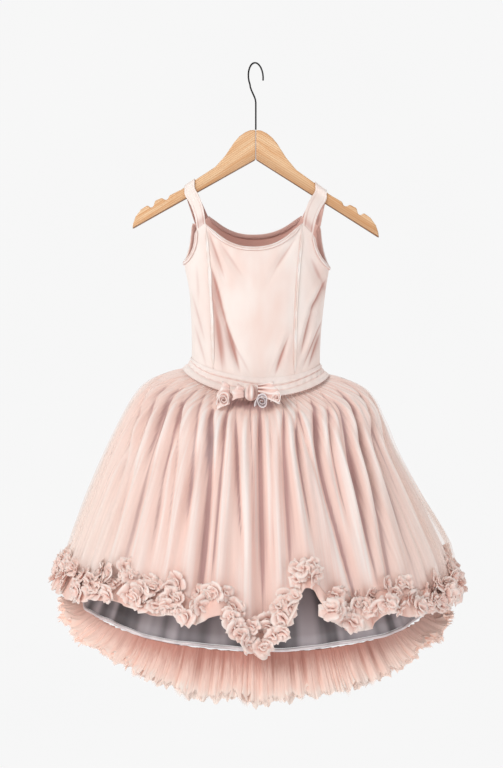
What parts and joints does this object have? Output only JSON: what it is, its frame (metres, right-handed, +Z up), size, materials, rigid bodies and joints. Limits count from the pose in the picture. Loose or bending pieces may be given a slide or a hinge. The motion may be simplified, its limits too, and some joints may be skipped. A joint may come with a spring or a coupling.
{
  "type": "ballet dress on a clothes hanger",
  "caption": "Child's sleeveless ballet dress with a gathered tulle skirt, flower trimmed hem, grey lining and net frill, hung by its straps on a notched wooden hanger.",
  "frame": {"origin": "underside of the hanger hook's crest, where it lies on a rod", "axes": "+Z up, the dress's front faces -Y, +X to the viewer's right"},
  "size_m": [0.6052, 0.4164, 0.8644],
  "materials": {
    "wood": "smooth, clear lacquer, fine grain",
    "wire": "blackened wire, semi gloss",
    "satin": "blush stretch satin, soft sheen",
    "binding": "pale satin bias binding",
    "sash": "pale pink satin ribbon",
    "tulle": "layered pink tulle, sheer",
    "grey_satin": "grey lining satin, sheen",
    "rim": "pale rolled satin edge",
    "net": "peach pink net, gathered",
    "chiffon": "pink chiffon petals",
    "bow": "dusty pink satin ribbon",
    "spiral": "silvery rose rolled ribbon"
  },
  "bodies": {
    "root": {"armhole_binding_left": "binding", "armhole_binding_right": "binding", "back": "satin", "bow_knot": "bow", "bow_loop_inner": "bow", "bow_loop_left": "bow", "bow_loop_right": "bow", "bow_rosette_centre": "spiral", "bow_rosette_left": "bow", "bow_rosette_right": "bow", "front_centre": "satin", "front_side_left": "satin", "front_side_right": "satin", "hanger_arm_left": "wood", "hanger_arm_right": "wood", "hanger_hook": "wire", "hem_rose_01": "chiffon", "hem_rose_02": "chiffon", "hem_rose_03": "chiffon", "hem_rose_04": "chiffon", "hem_rose_05": "chiffon", "hem_rose_06": "chiffon", "hem_rose_07": "chiffon", "hem_rose_08": "chiffon", "hem_rose_09": "chiffon", "hem_rose_10": "chiffon", "hem_rose_11": "chiffon", "hem_rose_12": "chiffon", "hem_rose_13": "chiffon", "hem_rose_14": "chiffon", "hem_rose_15": "chiffon", "hem_rose_16": "chiffon", "hem_rose_17": "chiffon", "hem_rose_18": "chiffon", "hem_rose_19": "chiffon", "hem_rose_20": "chiffon", "hem_rose_21": "chiffon", "hem_rose_22": "chiffon", "hem_rose_23": "chiffon", "hem_rose_24": "chiffon", "hem_rose_25": "chiffon", "hem_rose_26": "chiffon", "hem_rose_27": "chiffon", "hem_rose_28": "chiffon", "hem_rose_29": "chiffon", "hem_rose_30": "chiffon", "hem_ruffle": "chiffon", "lining_rim": "rim", "lining_skirt": "grey_satin", "neck_binding_back": "binding", "neck_binding_front": "binding", "net_frill": "net", "overskirt": "tulle", "piping_left": "binding", "piping_right": "binding", "sash": "sash", "strap_left": "satin", "strap_right": "satin"}
  },
  "joints": []
}
